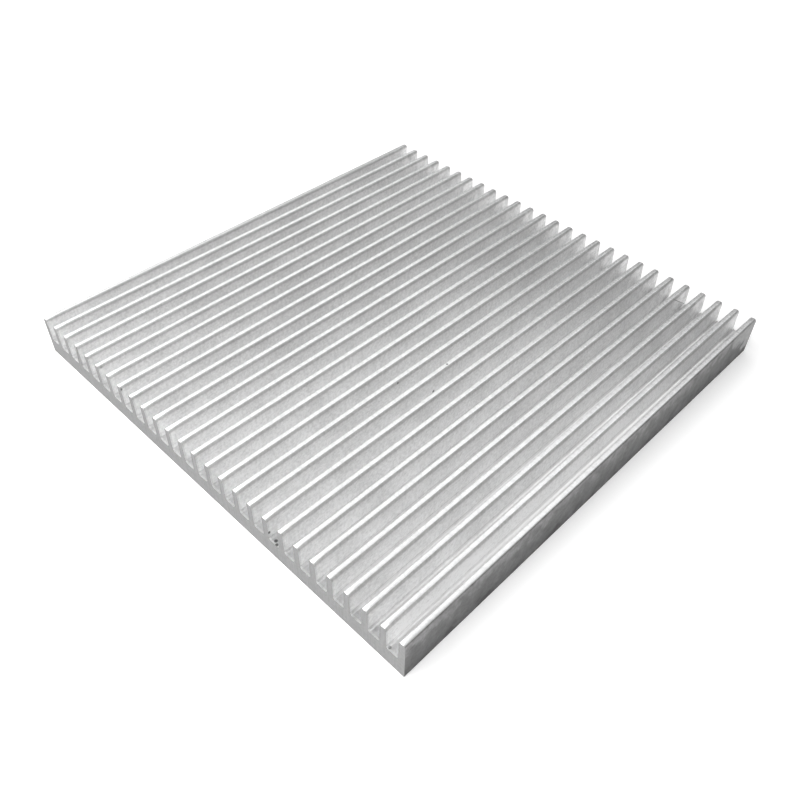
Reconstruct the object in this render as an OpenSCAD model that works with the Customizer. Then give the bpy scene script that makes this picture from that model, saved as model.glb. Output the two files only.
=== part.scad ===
// Extruded aluminium heat sink: a flat base plate with a row of straight fins.
// One piece. X runs across the fins, Y along the extrusion and Z up.
// The origin is the middle of the flat underside.

/* [Envelope] */
// Width across the fins
width = 100; // [60:0.5:160]
// Length along the extrusion, between the two saw cuts
length = 102; // [20:1:300]
// Height from the underside to the fin tips
height = 8.8; // [7:0.1:14]

/* [Base] */
// Thickness of the base plate under the grooves
base_t = 3.8; // [2:0.1:5]
// Radius along the two long edges of the underside
edge_r = 0.25; // [0.1:0.05:0.6]

/* [Fins] */
// Wanted spacing of the fins; it is evened out so that a fin ends each side
fin_spacing = 3.8; // [3:0.1:8]
// Thickness of a fin at its tip
fin_tip_t = 1.3; // [1:0.05:1.6]
// Draft of each fin flank, in degrees
fin_draft = 0.9; // [0:0.1:1.5]
// Radius on both corners of a tip
tip_r = 0.45; // [0.1:0.05:0.6]
// Radius of the fillet at the foot of each fin
foot_r = 0.45; // [0.1:0.05:0.6]

/* [Hidden] */
$fn = 48;

// Fin pattern: one groove fewer than there are fins
groove_count = round((width - fin_tip_t) / fin_spacing);
pitch = (width - fin_tip_t) / groove_count;
fin_h = height - base_t;

// Half widths of a groove at its mouth and at its floor
mouth_half = (pitch - fin_tip_t) / 2;
floor_half = mouth_half - fin_h * tan(fin_draft);

// How far each round runs along the faces that it joins
round_ratio = tan(45 - fin_draft / 2);
tip_round = min(tip_r, 0.45 * fin_tip_t);
tip_run = tip_round * round_ratio;
fillet_r = min(foot_r, 0.9 * floor_half);
fillet_run = fillet_r * round_ratio;

// The cutters stand this far outside the blank
cut_over = 1;

// Each round reaches this far past its faces, so that it meets them in clean edges
round_over = 0.002;

// Where one flank of a groove meets its rounds, from the floor upwards
flank = [
    [floor_half - fillet_run, 0],
    [floor_half + fillet_run * sin(fin_draft), fillet_run * cos(fin_draft)],
    [mouth_half - tip_run * sin(fin_draft), fin_h - tip_run * cos(fin_draft)],
    [mouth_half + tip_run, fin_h],
    [mouth_half + tip_run, fin_h + cut_over],
];

// The points of a half outline, seen in the mirror and in reverse order
function mirrored(points) =
    [for (i = [len(points) - 1:-1:0]) [-points[i][0], points[i][1]]];

// What is cut away to round one corner of the blank, at the origin
module corner_cut(r) {
    difference() {
        translate([-cut_over, -cut_over])
            square(r + cut_over);
        translate([r, r])
            circle(r = r + round_over);
    }
}

// Section of the bar before the grooves: a plate with four rounded edges
module blank_section() {
    difference() {
        translate([-width / 2, 0])
            square([width, height]);
        for (side = [0, 1])
            mirror([side, 0])
                translate([-width / 2, 0])
                    corner_cut(edge_r);
        for (side = [0, 1])
            mirror([side, 0])
                translate([-width / 2, height])
                    mirror([0, 1])
                        corner_cut(tip_round);
    }
}

// Section of one groove: drafted flanks, filleted feet and rounded tips
module groove_section() {
    difference() {
        union() {
            polygon(concat(flank, mirrored(flank)));
            for (side = [-1, 1])
                translate([side * (floor_half - fillet_run), fillet_r])
                    circle(r = fillet_r + round_over);
        }
        for (side = [-1, 1])
            translate([side * (mouth_half + tip_run), fin_h - tip_round])
                circle(r = tip_round + round_over);
    }
}

// Section of the extrusion, with a full fin along each side
module section() {
    difference() {
        blank_section();
        for (i = [0:groove_count - 1])
            translate([(i - (groove_count - 1) / 2) * pitch, base_t])
                groove_section();
    }
}

// The finished bar, sawn square at both ends
module heat_sink() {
    color("silver")
        rotate([90, 0, 0])
            translate([0, 0, -length / 2])
                linear_extrude(height = length)
                    section();
}

heat_sink();
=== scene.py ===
import bpy
import bmesh
import math
import random
from mathutils import Matrix, Vector


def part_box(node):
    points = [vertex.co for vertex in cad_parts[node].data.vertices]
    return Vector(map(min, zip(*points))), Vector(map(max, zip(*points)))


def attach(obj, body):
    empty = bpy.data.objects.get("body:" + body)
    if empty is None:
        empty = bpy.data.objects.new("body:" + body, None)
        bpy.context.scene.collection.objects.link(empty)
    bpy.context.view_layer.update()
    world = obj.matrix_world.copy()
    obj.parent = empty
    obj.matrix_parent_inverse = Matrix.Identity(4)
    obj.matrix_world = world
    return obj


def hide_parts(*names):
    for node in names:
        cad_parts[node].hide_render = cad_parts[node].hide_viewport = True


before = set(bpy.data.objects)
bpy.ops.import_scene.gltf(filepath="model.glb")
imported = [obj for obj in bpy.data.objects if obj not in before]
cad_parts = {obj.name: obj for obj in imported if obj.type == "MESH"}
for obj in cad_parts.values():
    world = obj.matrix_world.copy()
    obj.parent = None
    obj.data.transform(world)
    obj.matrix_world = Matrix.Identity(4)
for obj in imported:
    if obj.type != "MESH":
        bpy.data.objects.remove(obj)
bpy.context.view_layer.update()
mm = 0.001


def linear(hexColor):
    # "#rrggbb" as seen on a screen, turned to the linear values that shaders use
    steps = [int(hexColor[i:i + 2], 16) / 255 for i in (1, 3, 5)]
    return tuple(s / 12.92 if s <= 0.04045 else ((s + 0.055) / 1.055) ** 2.4 for s in steps) + (1,)


def addNode(tree, kind, settings={}, inputs={}):
    # settings are the node's own values; an input is a number, a colour or another node's socket
    node = tree.nodes.new("ShaderNode" + kind)
    for name, value in settings.items():
        setattr(node, name, value)
    for name, value in inputs.items():
        if isinstance(value, bpy.types.NodeSocket):
            tree.links.new(value, node.inputs[name])
        else:
            node.inputs[name].default_value = value
    return node


def newMaterial(name):
    material = bpy.data.materials.new(name)
    material.use_nodes = True
    material.node_tree.nodes.clear()
    return material, material.node_tree


def pick(piece, kind, test):
    # in edit mode: selects the verts, edges or faces that pass the test, and nothing else
    bpy.ops.mesh.select_all(action="DESELECT")
    bpy.ops.mesh.select_mode(type={"verts": "VERT", "edges": "EDGE", "faces": "FACE"}[kind])
    mesh = bmesh.from_edit_mesh(piece.data)
    for item in getattr(mesh, kind):
        if test(item):
            item.select_set(True)
    mesh.select_flush_mode()
    bmesh.update_edit_mesh(piece.data)


def cutAcross(axis, places):
    # straight cuts right through everything, at each place along the axis
    normal = [1 if i == axis else 0 for i in range(3)]
    for place in places:
        bpy.ops.mesh.select_all(action="SELECT")
        bpy.ops.mesh.bisect(plane_co=[place * n for n in normal], plane_no=normal)


view = {
    "azimuth": 43.43,       # degrees round from the -Y side towards +X
    "elevation": 44.36,     # degrees above the floor
    "roll": 1.47,           # the camera leans a little
    "distance": 163.4 * mm,
    "target": (7.54 * mm, -8.46 * mm, 0),
    "lens": 37.22,
    "sensor": 36,
    "shift": (-0.0008, -0.0139),
    "nearest": 10 * mm,     # nothing closer than this is drawn
}

turn = (Matrix.Rotation(math.radians(view["azimuth"]), 4, "Z")
        @ Matrix.Rotation(math.radians(90 - view["elevation"]), 4, "X")
        @ Matrix.Rotation(math.radians(view["roll"]), 4, "Z"))
back = Matrix.Translation((0, 0, view["distance"]))
bpy.ops.object.camera_add()
camera = bpy.context.object
camera.name = "camera"
camera.matrix_world = Matrix.Translation(view["target"]) @ turn @ back
camera.data.lens = view["lens"]
camera.data.sensor_width = view["sensor"]
camera.data.shift_x, camera.data.shift_y = view["shift"]
camera.data.clip_start = view["nearest"]
bpy.context.scene.camera = camera
print("camera placed")


low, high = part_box("heat_sink")
sink = {
    "fins": 27,
    "tipThick": 1.3 * mm,       # a fin at its tip
    "draft": 0.9,               # degrees, each flank
    "baseThick": 3.8 * mm,
    "tipRound": 0.45 * mm,
    "footRound": 0.45 * mm,
    "edgeRound": 0.25 * mm,     # long edges of the underside
    "roundSteps": 5,
    "bays": 34,                 # lengthwise divisions
    "flatAngle": 0.2,           # degrees: faces within this are joined into one
    "smoothAngle": 30,          # degrees: edges flatter than this are shaded smooth
}
# worn corners of the tips, as (distance in from the end, drop of the tip there)
wear = {
    "firstWorn": 12,            # the far corners are sharp at -X, and fully worn from this fin on
    "near": ((0, 0.07), (0.12, 0.02)),
    "far": ((0, 0.34), (0.12, 0.17), (0.3, 0.05), (0.55, 0.01)),
    "amounts": (0.6, 1.25),     # how much the wear differs from fin to fin
    "seed": 7,
    "reach": 1.1,               # how far down a tip the wear goes, in tip rounds
    "chippedFin": 3,
    "chip": (0.42, -0.22),      # how far the corner is pushed in and down
    "chipTall": 0.5 * mm,       # how far down the tip the chip reaches
}
width, length, height = (high[i] - low[i] for i in range(3))
finHeight = height - sink["baseThick"]
lean = finHeight * math.tan(math.radians(sink["draft"]))
pitch = (width - sink["tipThick"]) / (sink["fins"] - 1)
finX = [low.x + sink["tipThick"] / 2 + i * pitch for i in range(sink["fins"])]
runRatio = math.tan(math.radians(45 - sink["draft"] / 2))
tiny = 0.01 * mm


def finAt(x):
    return min(range(sink["fins"]), key=lambda i: abs(finX[i] - x))


def fromFin(x):
    return x - finX[finAt(x)]


def makeBar():
    bpy.ops.object.select_all(action="DESELECT")
    bpy.ops.mesh.primitive_cube_add(size=1, location=(0, 0, sink["baseThick"] / 2))
    bar = bpy.context.object
    bar.name = "heatSinkBar"
    bar.scale = (width, length, sink["baseThick"])
    bpy.ops.object.transform_apply(location=True, rotation=True, scale=True)
    bpy.ops.object.mode_set(mode="EDIT")

    # feet of the fins: the inner ones lean on both sides, the outer ones only inwards
    footHalf = sink["tipThick"] / 2 + lean
    feet = []
    for i, x in enumerate(finX):
        feet += [x - footHalf] if i > 0 else []
        feet += [x + footHalf] if i < sink["fins"] - 1 else []
    cutAcross(0, feet)
    pick(bar, "faces", lambda f: f.normal.z > 0.9
         and abs(fromFin(f.calc_center_median().x)) < footHalf)
    bpy.ops.mesh.extrude_region_move(TRANSFORM_OT_translate={"value": (0, 0, finHeight)})

    # draft: the tips' long edges close in
    atTip = lambda v: v.co.z > height - tiny
    inside = lambda v: abs(v.co.x) < width / 2 - tiny
    for side in (-1, 1):
        pick(bar, "verts", lambda v: atTip(v) and inside(v) and fromFin(v.co.x) * side > 0)
        bpy.ops.transform.translate(value=(-side * lean, 0, 0))

    # one face again on the ends, the underside and the outer flanks
    bpy.ops.mesh.select_all(action="SELECT")
    bpy.ops.mesh.dissolve_limited(angle_limit=math.radians(sink["flatAngle"]))

    lengthwise = lambda e: abs((e.verts[0].co - e.verts[1].co).y) > length - tiny
    rounds = (
        (height, sink["tipRound"] * runRatio),
        (sink["baseThick"], sink["footRound"] * runRatio),
        (0, sink["edgeRound"]),
    )
    for z, run in rounds:
        pick(bar, "edges", lambda e: lengthwise(e) and abs(e.verts[0].co.z - z) < tiny)
        bpy.ops.mesh.bevel(offset=run, segments=sink["roundSteps"], affect="EDGES",
                           clamp_overlap=False)

    cutAcross(1, [low.y + length * i / sink["bays"] for i in range(1, sink["bays"])])
    cutAcross(1, [low.y + inset * mm for inset, drop in wear["near"][1:]])
    cutAcross(1, [high.y - inset * mm for inset, drop in wear["far"][1:]])
    return bar


def wearCorners(bar):
    # each tip's ends are worn down a little, the far ones more, and never twice the same
    chance = random.Random(wear["seed"])
    atTop = lambda v: v.co.z > height - wear["reach"] * sink["tipRound"]
    for i in range(sink["fins"]):
        onFin = lambda v: atTop(v) and finAt(v.co.x) == i
        for end, steps in ((low.y, wear["near"]), (high.y, wear["far"])):
            amount = chance.uniform(*wear["amounts"])
            if end > 0:
                amount *= min(1, i / wear["firstWorn"])
            for inset, drop in steps:
                place = end + inset * mm if end < 0 else end - inset * mm
                pick(bar, "verts", lambda v: onFin(v) and abs(v.co.y - place) < tiny)
                bpy.ops.transform.translate(value=(0, 0, -drop * amount * mm))
    inward, down = wear["chip"]
    pick(bar, "verts", lambda v: v.co.y < low.y + tiny and v.co.z > height - wear["chipTall"]
         and finAt(v.co.x) == wear["chippedFin"])
    bpy.ops.transform.translate(value=(0, inward * mm, down * mm))
    bpy.ops.mesh.select_all(action="SELECT")
    bpy.ops.mesh.normals_make_consistent(inside=False)
    bpy.ops.object.mode_set(mode="OBJECT")
    bpy.ops.object.shade_smooth_by_angle(angle=math.radians(sink["smoothAngle"]))


bar = makeBar()
wearCorners(bar)
print("bar made:", len(bar.data.polygons), "faces")


# specks and dents, as (place in mm, radius in mm, colour), and one scratch
marks = {
    "flanks": (
        ((19.68, -50.9, 5.54), 0.4, "#6a6a6a"), ((20.63, -50.4, 3.8), 0.42, "#767676"),
        ((21.3, -50.8, 3.8), 0.38, "#7e7e7e"), ((46.6, -50.6, 3.8), 0.35, "#b4b4b4"),
        ((12.04, -14, 8.4), 0.32, "#969696"), ((15.89, -8.3, 5.1), 0.36, "#8c8c8c"),
        ((-29.75, -50.4, 8.4), 0.4, "#b4b4b4"), ((-22.1, -51, 8.2), 0.4, "#6a6a6a"),
    ),
    # dents in the flanks whose floors are tilted upwards, so that they catch the light; their white
    # colour is a painted highlight as well
    "dents": (
        ((-10.7, -41.5, 7.9), 0.42, "#ffffff"), ((-10.7, -41.2, 7.2), 0.45, "#ffffff"),
        ((-10.7, -40.9, 6.4), 0.5, "#ffffff"), ((14.5, -4, 8.5), 0.4, "#ffffff"),
    ),
    "dentFacing": (0.55, 0.05, 0.83),       # the way their floors face
    "tips": (
        ((15.2, -4, 8.8), 0.3, "#9a9a9a"), ((35, 49.4, 8.8), 0.7, "#8c8c8c"),
        ((34.8, 47.9, 8.8), 0.5, "#969696"), ((31, 50.2, 8.7), 0.5, "#5c5c5c"),
        ((42.4, 48.6, 8.8), 0.5, "#868686"),
    ),
    "scratch": ((34.9, 47.4, 6.5), (0, 0.59, 0.81)),    # its middle, and what it runs square to
    "scratchHalf": 3.7,         # half its length, in mm
    "scratchWide": 0.13,        # in mm
    "scratchColor": "#a6a6a6",
}


def addMarks(tree, place, color, spots):
    # each spot has a soft edge, from half its radius outwards
    for spot, radius, shade in spots:
        apart = addNode(tree, "VectorMath", {"operation": "DISTANCE"}, {
            0: place, 1: [c * mm for c in spot]})
        inside = addNode(tree, "MapRange", {"interpolation_type": "SMOOTHSTEP"}, {
            "Value": apart.outputs["Value"], "From Min": radius * mm / 2, "From Max": radius * mm,
            "To Min": 1, "To Max": 0})
        color = addNode(tree, "Mix", {"data_type": "RGBA"}, {
            "Factor": inside.outputs["Result"], 6: color, 7: linear(shade)}).outputs[2]
    return color


def addScratch(tree, place, color):
    # one thin line down a flank: close to a plane, and close to the middle of the line
    middle, across = (Vector(v) for v in marks["scratch"])
    offMiddle = addNode(tree, "VectorMath", {"operation": "DOT_PRODUCT"}, {0: place, 1: across})
    offPlane = addNode(tree, "Math", {"operation": "COMPARE"}, {
        0: offMiddle.outputs["Value"], 1: middle.dot(across) * mm,
        2: marks["scratchWide"] / 2 * mm})
    apart = addNode(tree, "VectorMath", {"operation": "DISTANCE"}, {0: place, 1: middle * mm})
    near = addNode(tree, "Math", {"operation": "LESS_THAN"}, {
        0: apart.outputs["Value"], 1: marks["scratchHalf"] * mm})
    both = addNode(tree, "Math", {"operation": "MULTIPLY"}, {
        0: offPlane.outputs[0], 1: near.outputs[0]})
    return addNode(tree, "Mix", {"data_type": "RGBA"}, {
        "Factor": both.outputs[0], 6: color, 7: linear(marks["scratchColor"])}).outputs[2]


etch = {
    # colour at each height, in mm: groove floor and foot painted white as a painted highlight, a
    # darker line above the foot, the flank, and a painted shade line under the tip
    "heights": ((3.8, "#ffffff"), (4.15, "#ffffff"), (4.35, "#dbdbdb"), (4.55, "#f2f2f2"),
                (7.3, "#f2f2f2"), (7.9, "#f0f0f0"), (8.15, "#e8e8e8"), (8.4, "#d2d2d2"),
                (8.75, "#cccccc")),
    "heightSpan": (3.5, 9),     # in mm, a little more than the heights above
    "brightest": 0.98,
    "spread": (0.3, 0.7),       # nearly all of a noise lies between these
    "grain": 0.6 * mm,          # sand-like grain of the etch, drawn coarse enough to show
    "grainDepth": 0.27,
    "grainTall": 0.03 * mm,
    "dieLine": 0.25 * mm,       # width of the faint lengthwise lines, coarse as well
    "dieLineStretch": 0.02,
    "dieLineDepth": 0.05,
    "smudge": 6 * mm,           # size of the faint smudges all over
    "smudgeDepth": 0.1,
    "farPatch": 2.4 * mm,       # size of the darker and paler patches at the far end
    "farPatchSpread": (0.4, 0.62),
    "farPatchShades": (-0.4, 0.3),
    "farPatchAmount": 0.3,
    "farPatchIn": (10 * mm, 2 * mm),    # they come in between these distances from the end

    # painted shade and painted light on the flanks, along and across the bar: a pair is for -X and
    # +X, with the X between which it changes
    "nearShades": (0.96, 1),
    "nearTurn": (-12 * mm, 0),
    "farShades": (0.985, 0.935),
    "farTurn": (-24 * mm, 0),
    "nearToFar": (8 * mm, 38 * mm),
    "mouthShades": (1.045, 1.015),      # painted light: lighter again beside the near end
    "mouthTurn": (-5 * mm, 10 * mm),
    "mouthFade": (-42 * mm, -15 * mm),
    "lastGroove": 1.07,         # painted light: the last groove at +X is lighter in its near half
    "lastGrooveIn": (5.3 * mm, 5 * mm),
    "farEdge": 0.95,            # painted shade over the last few millimetres at the far end
    "farEdgeIn": (4.5 * mm, 1.5 * mm),

    # beside the near saw cut: painted shade darkens the groove floors, but for a painted highlight
    # along the cut's edge
    "floorRim": 0.8,
    "floorRimIn": (1 * mm, 2.5 * mm),
    "sawEdge": 0.93,
    "sawEdgeWide": 0.3 * mm,
    # and painted shade darkens the flanks there too: most at the cut's own edge, and less further
    # in
    "flankEdge": 0.8,
    "flankEdgeIn": (0.15 * mm, 0.35 * mm),
    "flankRims": (0.96, 0.93),
    "flankRimTurn": (-10 * mm, 30 * mm),
    "flankRimIn": (1.2 * mm, 3.5 * mm),

    "footTop": (4.2 * mm, 4.4 * mm),
    "metallic": (1, 0.7),       # at the feet of the fins, and above them
    "roughness": (0.3, 0.5),
}


def etchedAluminium():
    # 6000-series extrusion with an etched mill finish: pale and satiny, finely sandy,
    # with faint die lines and smudges, glossier feet, and blotches where the far end was handled
    # its colour also holds painted shade and painted light: along and across the bar, beside the
    # saw cut, on the floors and under the tips
    material, tree = newMaterial("etchedAluminium")
    place = addNode(tree, "TexCoord").outputs["Object"]
    axes = addNode(tree, "SeparateXYZ", {}, {"Vector": place}).outputs
    # colour by height: painted highlight on the groove floors and feet, painted shade under the
    # tips
    lowest, highest = etch["heightSpan"]
    level = addNode(tree, "MapRange", {}, {
        "Value": axes["Z"], "From Min": lowest * mm, "From Max": highest * mm})
    byHeight = addNode(tree, "ValToRGB", {}, {"Fac": level.outputs["Result"]})
    stops = byHeight.color_ramp.elements
    for i, (z, color) in enumerate(etch["heights"]):
        stop = stops[i] if i < 2 else stops.new(1)
        stop.position = (z - lowest) / (highest - lowest)
        stop.color = linear(color)

    grain = addNode(tree, "TexNoise", {}, {
        "Vector": place, "Scale": 1 / etch["grain"], "Detail": 3, "Roughness": 0.75})
    stretched = addNode(tree, "VectorMath", {"operation": "MULTIPLY"}, {
        0: place, 1: (1, etch["dieLineStretch"], 1)})
    dieLines = addNode(tree, "TexNoise", {}, {
        "Vector": stretched.outputs["Vector"], "Scale": 1 / etch["dieLine"], "Detail": 1})
    smudges = addNode(tree, "TexNoise", {}, {
        "Vector": place, "Scale": 1 / etch["smudge"], "Detail": 2})
    sandy, lined, smudged = [addNode(tree, "MapRange", {}, {
        "Value": noise.outputs["Fac"], "From Min": etch["spread"][0], "From Max": etch["spread"][1],
        "To Min": 1 - depth / 2, "To Max": 1 + depth / 2})
        for noise, depth in ((grain, etch["grainDepth"]), (dieLines, etch["dieLineDepth"]),
                             (smudges, etch["smudgeDepth"]))]

    farNoise = addNode(tree, "TexNoise", {}, {
        "Vector": place, "Scale": 1 / etch["farPatch"], "Detail": 3})
    farEnd = addNode(tree, "MapRange", {"interpolation_type": "SMOOTHSTEP"}, {
        "Value": axes["Y"], "From Min": high.y - etch["farPatchIn"][0],
        "From Max": high.y - etch["farPatchIn"][1], "To Max": etch["farPatchAmount"]})
    patches = addNode(tree, "MapRange", {}, {
        "Value": farNoise.outputs["Fac"], "From Min": etch["farPatchSpread"][0],
        "From Max": etch["farPatchSpread"][1], "To Min": etch["farPatchShades"][0],
        "To Max": etch["farPatchShades"][1]})
    patches = addNode(tree, "Math", {"operation": "MULTIPLY"}, {
        0: patches.outputs["Result"], 1: farEnd.outputs["Result"]})
    fine = addNode(tree, "Math", {"operation": "MULTIPLY"}, {
        0: sandy.outputs["Result"], 1: lined.outputs["Result"]})
    shade = addNode(tree, "Math", {"operation": "MULTIPLY_ADD"}, {
        0: fine.outputs[0], 1: smudged.outputs["Result"], 2: patches.outputs[0]})

    # beside the near saw cut: painted shade, and a painted highlight along the cut's edge
    floorRim = addNode(tree, "MapRange", {}, {
        "Value": axes["Y"], "From Min": low.y + etch["floorRimIn"][0],
        "From Max": low.y + etch["floorRimIn"][1], "To Min": etch["floorRim"]})
    edgeEnd = low.y + etch["sawEdgeWide"]
    sawEdge = addNode(tree, "MapRange", {"interpolation_type": "STEPPED"}, {
        "Value": axes["Y"], "From Min": edgeEnd, "From Max": edgeEnd + tiny,
        "To Min": etch["sawEdge"], "To Max": 0, "Steps": 1})
    floorRim = addNode(tree, "Math", {"operation": "MAXIMUM"}, {
        0: floorRim.outputs["Result"], 1: sawEdge.outputs["Result"]})
    mouthShade, farShade, rimShade = [addNode(tree, "MapRange", {}, {
        "Value": axes["X"], "From Min": etch[turn][0], "From Max": etch[turn][1],
        "To Min": etch[shades][0], "To Max": etch[shades][1]})
        for turn, shades in (("mouthTurn", "mouthShades"), ("farTurn", "farShades"),
                             ("flankRimTurn", "flankRims"))]
    flankEdge = addNode(tree, "MapRange", {}, {
        "Value": axes["Y"], "From Min": low.y + etch["flankEdgeIn"][0],
        "From Max": low.y + etch["flankEdgeIn"][1],
        "To Min": etch["flankEdge"], "To Max": rimShade.outputs["Result"]})
    flankRim = addNode(tree, "MapRange", {}, {
        "Value": axes["Y"], "From Min": low.y + etch["flankRimIn"][0],
        "From Max": low.y + etch["flankRimIn"][1],
        "To Min": flankEdge.outputs["Result"], "To Max": 1})
    aboveFoot = addNode(tree, "MapRange", {}, {
        "Value": axes["Z"], "From Min": etch["footTop"][0], "From Max": etch["footTop"][1]})
    rim = addNode(tree, "Mix", {"data_type": "FLOAT"}, {
        "Factor": aboveFoot.outputs["Result"], 2: floorRim.outputs[0],
        3: flankRim.outputs["Result"]})

    # painted shade and painted light from the near end to the far end, and across the bar
    lastGroove = addNode(tree, "MapRange", {}, {
        "Value": axes["X"], "From Min": high.x - etch["lastGrooveIn"][0],
        "From Max": high.x - etch["lastGrooveIn"][1],
        "To Min": etch["nearShades"][1], "To Max": etch["lastGroove"]})
    nearShade = addNode(tree, "MapRange", {}, {
        "Value": axes["X"], "From Min": etch["nearTurn"][0], "From Max": etch["nearTurn"][1],
        "To Min": etch["nearShades"][0], "To Max": lastGroove.outputs["Result"]})
    lengthwise = addNode(tree, "MapRange", {"interpolation_type": "SMOOTHSTEP"}, {
        "Value": axes["Y"], "From Min": etch["nearToFar"][0], "From Max": etch["nearToFar"][1],
        "To Min": nearShade.outputs["Result"], "To Max": farShade.outputs["Result"]})
    mouth = addNode(tree, "MapRange", {}, {
        "Value": axes["Y"], "From Min": etch["mouthFade"][0], "From Max": etch["mouthFade"][1],
        "To Min": mouthShade.outputs["Result"], "To Max": 1})
    farEdge = addNode(tree, "MapRange", {}, {
        "Value": axes["Y"], "From Min": high.y - etch["farEdgeIn"][0],
        "From Max": high.y - etch["farEdgeIn"][1], "To Min": 1, "To Max": etch["farEdge"]})
    for factor in (lengthwise.outputs["Result"], mouth.outputs["Result"],
                   farEdge.outputs["Result"], rim.outputs[0]):
        shade = addNode(tree, "Math", {"operation": "MULTIPLY"}, {0: shade.outputs[0], 1: factor})

    color = addNode(tree, "VectorMath", {"operation": "SCALE"}, {
        0: byHeight.outputs["Color"], "Scale": shade.outputs[0]})
    color = addNode(tree, "VectorMath", {"operation": "MINIMUM"}, {
        0: color.outputs[0], 1: [etch["brightest"]] * 3})
    color = addMarks(tree, place, color.outputs[0], marks["flanks"])
    color = addScratch(tree, place, addMarks(tree, place, color, marks["dents"]))
    bump = addNode(tree, "Bump", {}, {
        "Height": grain.outputs["Fac"], "Strength": 0.35, "Distance": etch["grainTall"]})
    black = (0, 0, 0, 1)
    inDent = addMarks(tree, place, black, marks["dents"])
    facing = addNode(tree, "Mix", {"data_type": "VECTOR"}, {
        "Factor": inDent, 4: bump.outputs["Normal"], 5: marks["dentFacing"]})
    metallic, roughness = [addNode(tree, "MapRange", {}, {
        "Value": aboveFoot.outputs["Result"], "To Min": foot, "To Max": above})
        for foot, above in (etch["metallic"], etch["roughness"])]
    surface = addNode(tree, "BsdfPrincipled", {}, {
        "Base Color": color, "Metallic": metallic.outputs["Result"],
        "Roughness": roughness.outputs["Result"], "Normal": facing.outputs[1]})
    addNode(tree, "OutputMaterial", {}, {"Surface": surface.outputs["BSDF"]})
    return material


rub = {
    "color": "#ffffff",
    "dull": "#ebebeb",          # between the brighter rubs, all along
    "dullSpread": (0.8, 1.2),   # of grain and mottle together
    "worn": "#b0b0b0",          # the grey that shows through towards the far end
    "wornSpread": (0.35, 0.7),
    "wornMost": 0.5,
    "wornFrom": 5 * mm,         # along Y
    "outerTip": "#e0e0e0",      # painted shade: the first tip at -X is greyer, mostly in its far half
    "outerTipWide": 1.5 * mm,
    "outerTipLeast": 0.25,
    "outerTipFade": (-30 * mm, 5 * mm),     # along Y
    "mottle": 1.1 * mm,
    "grain": 0.4 * mm,          # drawn coarse enough to show
    "grainTall": 0.02 * mm,
    "metallic": 0.9,
    "roughness": 0.34,
}


def rubbedAluminium():
    # the fin tips, rubbed bright on whatever they touch: whiter and cleaner than the flanks,
    # but speckled grey where the rubbing fades out towards the far end
    material, tree = newMaterial("rubbedAluminium")
    place = addNode(tree, "TexCoord").outputs["Object"]
    axes = addNode(tree, "SeparateXYZ", {}, {"Vector": place}).outputs
    grain = addNode(tree, "TexNoise", {}, {
        "Vector": place, "Scale": 1 / rub["grain"], "Detail": 2, "Roughness": 0.7})
    mottle = addNode(tree, "TexNoise", {}, {
        "Vector": place, "Scale": 1 / rub["mottle"], "Detail": 2})
    both = addNode(tree, "Math", {"operation": "ADD"}, {
        0: grain.outputs["Fac"], 1: mottle.outputs["Fac"]})
    between = addNode(tree, "MapRange", {}, {
        "Value": both.outputs[0], "From Min": rub["dullSpread"][0],
        "From Max": rub["dullSpread"][1]})
    rubbed = addNode(tree, "Mix", {"data_type": "RGBA"}, {
        "Factor": between.outputs["Result"], 6: linear(rub["color"]), 7: linear(rub["dull"])})
    fading = addNode(tree, "MapRange", {"interpolation_type": "SMOOTHSTEP"}, {
        "Value": axes["Y"], "From Min": rub["wornFrom"], "From Max": high.y})
    spots = addNode(tree, "MapRange", {}, {
        "Value": grain.outputs["Fac"], "From Min": rub["wornSpread"][0],
        "From Max": rub["wornSpread"][1], "To Min": 0, "To Max": rub["wornMost"]})
    amount = addNode(tree, "Math", {"operation": "MULTIPLY"}, {
        0: spots.outputs["Result"], 1: fading.outputs["Result"]})
    color = addNode(tree, "Mix", {"data_type": "RGBA"}, {
        "Factor": amount.outputs[0], 6: rubbed.outputs[2], 7: linear(rub["worn"])})
    # painted shade on the first tip at -X
    outermost = addNode(tree, "Math", {"operation": "LESS_THAN"}, {
        0: axes["X"], 1: low.x + rub["outerTipWide"]})
    greying = addNode(tree, "MapRange", {}, {
        "Value": axes["Y"], "From Min": rub["outerTipFade"][0], "From Max": rub["outerTipFade"][1],
        "To Min": rub["outerTipLeast"], "To Max": 1})
    greying = addNode(tree, "Math", {"operation": "MULTIPLY"}, {
        0: outermost.outputs[0], 1: greying.outputs["Result"]})
    color = addNode(tree, "Mix", {"data_type": "RGBA", "blend_type": "MULTIPLY"}, {
        "Factor": greying.outputs[0], 6: color.outputs[2], 7: linear(rub["outerTip"])})
    color = addMarks(tree, place, color.outputs[2], marks["tips"])
    bump = addNode(tree, "Bump", {}, {
        "Height": grain.outputs["Fac"], "Strength": 0.2, "Distance": rub["grainTall"]})
    surface = addNode(tree, "BsdfPrincipled", {}, {
        "Base Color": color, "Metallic": rub["metallic"], "Roughness": rub["roughness"],
        "Normal": bump.outputs["Normal"]})
    addNode(tree, "OutputMaterial", {}, {"Surface": surface.outputs["BSDF"]})
    return material


saw = {
    "color": "#868686",
    "light": "#939393",
    "across": (0.88, 1.07),     # painted shade at -X and painted light at +X
    "mark": 0.35 * mm,          # spacing of the saw's marks, drawn coarse enough to show
    "markSlant": 12,            # degrees
    "markStretch": 0.03,
    "markTall": 0.02 * mm,
    "grain": 0.5 * mm,
    "spread": (0.7, 1.3),       # of marks and grain together
    "metallic": 0.6,
    "roughness": 0.6,
}


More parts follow.
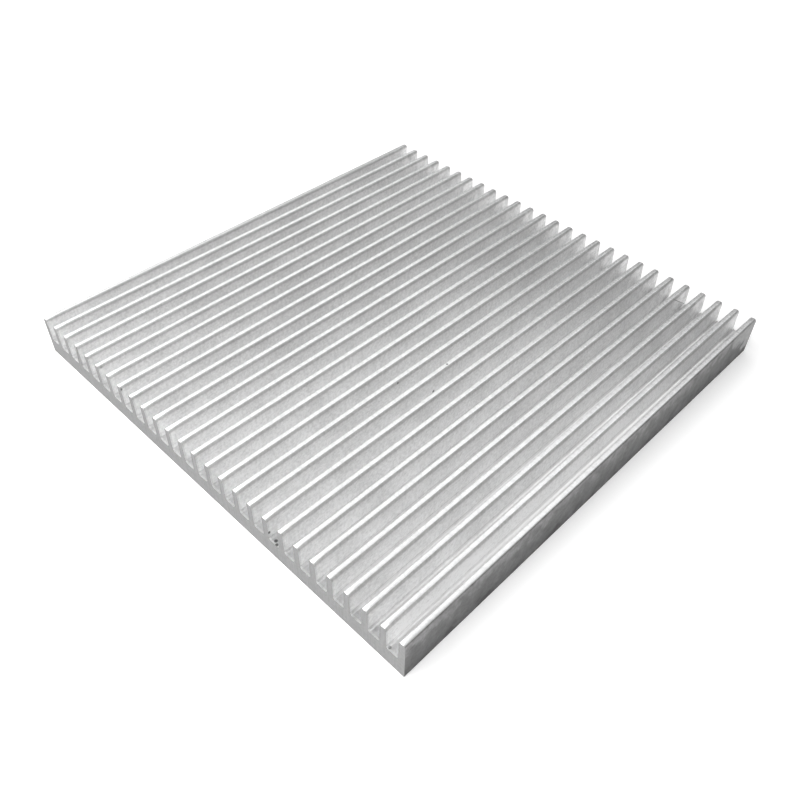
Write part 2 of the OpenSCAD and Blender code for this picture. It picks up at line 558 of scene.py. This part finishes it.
def sawnAluminium():
    # where a fine saw went through: flat and matte grey, with faint marks slanting across,
    # and painted shade that darkens it towards -X
    material, tree = newMaterial("sawnAluminium")
    place = addNode(tree, "TexCoord").outputs["Object"]
    axes = addNode(tree, "SeparateXYZ", {}, {"Vector": place}).outputs
    slanted = addNode(tree, "Mapping", {"vector_type": "POINT"}, {
        "Vector": place, "Rotation": (0, math.radians(saw["markSlant"]), 0),
        "Scale": (1, 1, saw["markStretch"])})
    lines = addNode(tree, "TexNoise", {}, {
        "Vector": slanted.outputs["Vector"], "Scale": 1 / saw["mark"], "Detail": 2})
    grain = addNode(tree, "TexNoise", {}, {
        "Vector": place, "Scale": 1 / saw["grain"], "Detail": 2})
    both = addNode(tree, "Math", {"operation": "ADD"}, {
        0: lines.outputs["Fac"], 1: grain.outputs["Fac"]})
    between = addNode(tree, "MapRange", {}, {
        "Value": both.outputs[0], "From Min": saw["spread"][0], "From Max": saw["spread"][1]})
    color = addNode(tree, "Mix", {"data_type": "RGBA"}, {
        "Factor": between.outputs["Result"], 6: linear(saw["color"]), 7: linear(saw["light"])})
    # painted shade across the cut, darker towards -X
    across = addNode(tree, "MapRange", {}, {
        "Value": axes["X"], "From Min": low.x, "From Max": high.x,
        "To Min": saw["across"][0], "To Max": saw["across"][1]})
    color = addNode(tree, "VectorMath", {"operation": "SCALE"}, {
        0: color.outputs[2], "Scale": across.outputs["Result"]})
    bump = addNode(tree, "Bump", {}, {
        "Height": lines.outputs["Fac"], "Strength": 0.3, "Distance": saw["markTall"]})
    surface = addNode(tree, "BsdfPrincipled", {}, {
        "Base Color": color.outputs[0], "Metallic": saw["metallic"], "Roughness": saw["roughness"],
        "Normal": bump.outputs["Normal"]})
    addNode(tree, "OutputMaterial", {}, {"Surface": surface.outputs["BSDF"]})
    return material


outerMottleAndPaintedShade = {
    # colour at each height, in mm: painted shade and painted reflection of a dark floor, darkest
    # towards the underside
    "heights": ((0, "#262626"), (0.5, "#3a3a3a"), (1.5, "#505050"), (3.5, "#5f5f5f"),
                (6.0, "#6c6c6c"), (7.4, "#7e7e7e"), (8.8, "#8a8a8a")),
    "rubbed": "#9d9d9d",        # the far end
    "rubSlant": 1.44,           # how far its edge comes back along Y for each step up
    "rubEdge": (50.5 * mm, 55 * mm),    # along Y at the underside, where it comes in
    "spread": (0.3, 0.7),       # nearly all of a noise lies between these
    "cloud": 2.2 * mm,          # size of the lighter and darker clouds
    "wander": 2 * mm,           # how far the clouds move a shade up or down
    "grain": 0.7 * mm,          # drawn coarse enough to show
    "grainShades": (0.8, 1.2),
    "grainTall": 0.03 * mm,
    "metallic": 0.6,
    "roughness": 0.5,
}


def outerFlankMottleAndPaintedShade():
    # the outer flanks: a cloudy grey made dark by painted shade and painted reflection, paler at
    # the far end
    material, tree = newMaterial("outerFlankMottleAndPaintedShade")
    place = addNode(tree, "TexCoord").outputs["Object"]
    axes = addNode(tree, "SeparateXYZ", {}, {"Vector": place}).outputs
    clouds = addNode(tree, "TexNoise", {}, {
        "Vector": place, "Scale": 1 / outerMottleAndPaintedShade["cloud"], "Detail": 3})
    grain = addNode(tree, "TexNoise", {}, {
        "Vector": place, "Scale": 1 / outerMottleAndPaintedShade["grain"], "Detail": 3, "Roughness": 0.7})
    least, most = outerMottleAndPaintedShade["spread"]
    wander = addNode(tree, "MapRange", {}, {
        "Value": clouds.outputs["Fac"], "From Min": least, "From Max": most,
        "To Min": -outerMottleAndPaintedShade["wander"], "To Max": outerMottleAndPaintedShade["wander"]})
    shifted = addNode(tree, "Math", {"operation": "ADD"}, {
        0: axes["Z"], 1: wander.outputs["Result"]})
    # the darkness by height is painted shade and painted reflection; the clouds only move it up and
    # down
    highest = outerMottleAndPaintedShade["heights"][-1][0]
    level = addNode(tree, "Math", {"operation": "DIVIDE"}, {
        0: shifted.outputs[0], 1: highest * mm})
    byHeight = addNode(tree, "ValToRGB", {}, {"Fac": level.outputs[0]})
    stops = byHeight.color_ramp.elements
    for i, (z, color) in enumerate(outerMottleAndPaintedShade["heights"]):
        stop = stops[i] if i < 2 else stops.new(1)
        stop.position = z / highest
        stop.color = linear(color)
    # the paler end: its edge runs slantwise, further along nearer the underside
    along = addNode(tree, "Math", {"operation": "MULTIPLY_ADD"}, {
        0: shifted.outputs[0], 1: outerMottleAndPaintedShade["rubSlant"], 2: axes["Y"]})
    rubbed = addNode(tree, "MapRange", {"interpolation_type": "SMOOTHSTEP"}, {
        "Value": along.outputs[0], "From Min": outerMottleAndPaintedShade["rubEdge"][0],
        "From Max": outerMottleAndPaintedShade["rubEdge"][1]})
    ends = addNode(tree, "Mix", {"data_type": "RGBA"}, {
        "Factor": rubbed.outputs["Result"], 6: byHeight.outputs["Color"],
        7: linear(outerMottleAndPaintedShade["rubbed"])})
    sandy = addNode(tree, "MapRange", {}, {
        "Value": grain.outputs["Fac"], "From Min": least, "From Max": most,
        "To Min": outerMottleAndPaintedShade["grainShades"][0], "To Max": outerMottleAndPaintedShade["grainShades"][1]})
    color = addNode(tree, "VectorMath", {"operation": "SCALE"}, {
        0: ends.outputs[2], "Scale": sandy.outputs["Result"]})
    bump = addNode(tree, "Bump", {}, {
        "Height": grain.outputs["Fac"], "Strength": 0.3, "Distance": outerMottleAndPaintedShade["grainTall"]})
    surface = addNode(tree, "BsdfPrincipled", {}, {
        "Base Color": color.outputs[0], "Metallic": outerMottleAndPaintedShade["metallic"],
        "Roughness": outerMottleAndPaintedShade["roughness"], "Normal": bump.outputs["Normal"]})
    addNode(tree, "OutputMaterial", {}, {"Surface": surface.outputs["BSDF"]})
    return material


cover = {
    "side": (0.25 * mm, 0.5),   # outer flanks: how far in, and the least sideways normal
    "end": (0.6 * mm, 0.6),     # sawn ends: how far in, and the least lengthwise normal
    "tip": 2,                   # tips: how far down, in tip rounds
    "tipSlope": (0.6, 0.95),    # least upward normal on a tip, towards -X and towards +X; most of the +X round stays in the flank finish, with its painted shade line
    "leaning": 0.05,            # sideways normal above which a face is towards +X
}


def coverBar(bar):
    for material in (etchedAluminium(), sawnAluminium(), outerFlankMottleAndPaintedShade(), rubbedAluminium()):
        bar.data.materials.append(material)
    etched, sawn, mottledPaintedShadeSide, rubbed = range(4)
    sideIn, sideNormal = cover["side"]
    endIn, endNormal = cover["end"]
    for face in bar.data.polygons:
        x, y, z = face.center
        atSide = abs(x) > width / 2 - sideIn and abs(face.normal.x) > sideNormal
        atEnd = abs(y) > length / 2 - endIn and abs(face.normal.y) > endNormal
        slope = cover["tipSlope"][1 if face.normal.x > cover["leaning"] else 0]
        onTip = z > height - cover["tip"] * sink["tipRound"] and face.normal.z > slope
        face.material_index = rubbed if onTip else sawn if atEnd else mottledPaintedShadeSide if atSide else etched


coverBar(bar)
print("finishes set")

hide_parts("heat_sink")
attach(bar, "root")


studio = {
    "floorRadius": 1.5,
    "floorSides": 64,
    "wallHeight": 0.35,
    "coveRadius": 0.2,
    "coveSteps": 8,
    "paperColor": "#ececec",
    "glow": (0.3, 0.5),         # seen only: the paper fades to white away from the object
    "glowFrom": (0.06, 0.13),
    "boxes": (                  # place, size and power of each softbox, aimed at the middle
        ((-0.4, 0.15, 0.5), 0.7, 1.6),
        ((0.03, -0.2, 0.25), 0.25, 1.03),
        ((0.25, -0.25, 0.3), 0.3, 0.2),
        ((-0.12, -0.1, 0.16), 0.14, 0.2),
        ((-0.05, 0.42, 0.42), 0.35, 0.23),
        ((0.15, 0.33, 0.47), 0.35, 0.34),
    ),
    "room": 0.05,               # strength of the room all round
}


def makeSweep():
    # one sheet of pale paper: the floor, a cove and a wall all round
    bpy.ops.mesh.primitive_circle_add(vertices=studio["floorSides"], radius=studio["floorRadius"],
                                      fill_type="NGON", location=(0, 0, low.z))
    sweep = bpy.context.object
    sweep.name = "paperSweep"
    bpy.ops.object.mode_set(mode="EDIT")
    pick(sweep, "edges", lambda e: True)
    bpy.ops.mesh.extrude_region_move(TRANSFORM_OT_translate={"value": (0, 0, studio["wallHeight"])})
    pick(sweep, "faces", lambda f: min(v.co.z for v in f.verts) > studio["wallHeight"] / 2)
    bpy.ops.mesh.delete(type="ONLY_FACE")
    pick(sweep, "edges", lambda e: max(v.co.z for v in e.verts) < tiny)
    bpy.ops.mesh.bevel(offset=studio["coveRadius"], segments=studio["coveSteps"], affect="EDGES")
    bpy.ops.object.mode_set(mode="OBJECT")
    bpy.ops.object.shade_smooth()
    material, tree = newMaterial("palePaper")
    path = addNode(tree, "LightPath")
    seen = addNode(tree, "Math", {"operation": "MAXIMUM"}, {
        0: path.outputs["Is Camera Ray"], 1: path.outputs["Is Glossy Ray"]})
    seen = addNode(tree, "Math", {"operation": "MAXIMUM"}, {
        0: seen.outputs[0], 1: path.outputs["Is Transmission Ray"]})
    place = addNode(tree, "TexCoord")
    away = addNode(tree, "VectorMath", {"operation": "LENGTH"}, {0: place.outputs["Object"]})
    fade = addNode(tree, "MapRange", {"interpolation_type": "SMOOTHSTEP"}, {
        "Value": away.outputs["Value"], "From Min": studio["glowFrom"][0],
        "From Max": studio["glowFrom"][1],
        "To Min": studio["glow"][0], "To Max": studio["glow"][1]})
    glow = addNode(tree, "Math", {"operation": "MULTIPLY"}, {
        0: seen.outputs[0], 1: fade.outputs["Result"]})
    paper = addNode(tree, "BsdfPrincipled", {}, {
        "Base Color": linear(studio["paperColor"]), "Roughness": 1, "Specular IOR Level": 0,
        "Emission Color": (1, 1, 1, 1), "Emission Strength": glow.outputs[0]})
    addNode(tree, "OutputMaterial", {}, {"Surface": paper.outputs["BSDF"]})
    sweep.data.materials.append(material)


def makeLight():
    for place, size, power in studio["boxes"]:
        bpy.ops.object.light_add(type="AREA", location=place)
        box = bpy.context.object
        box.rotation_euler = Vector(place).to_track_quat("Z", "Y").to_euler()
        box.data.size = size
        box.data.energy = power
    world = bpy.data.worlds.new("softRoom")
    bpy.context.scene.world = world
    world.use_nodes = True
    room = world.node_tree.nodes["Background"]
    room.inputs["Color"].default_value = (1, 1, 1, 1)
    room.inputs["Strength"].default_value = studio["room"]


makeSweep()
makeLight()
bpy.context.scene.view_settings.view_transform = "Standard"
print("studio set")
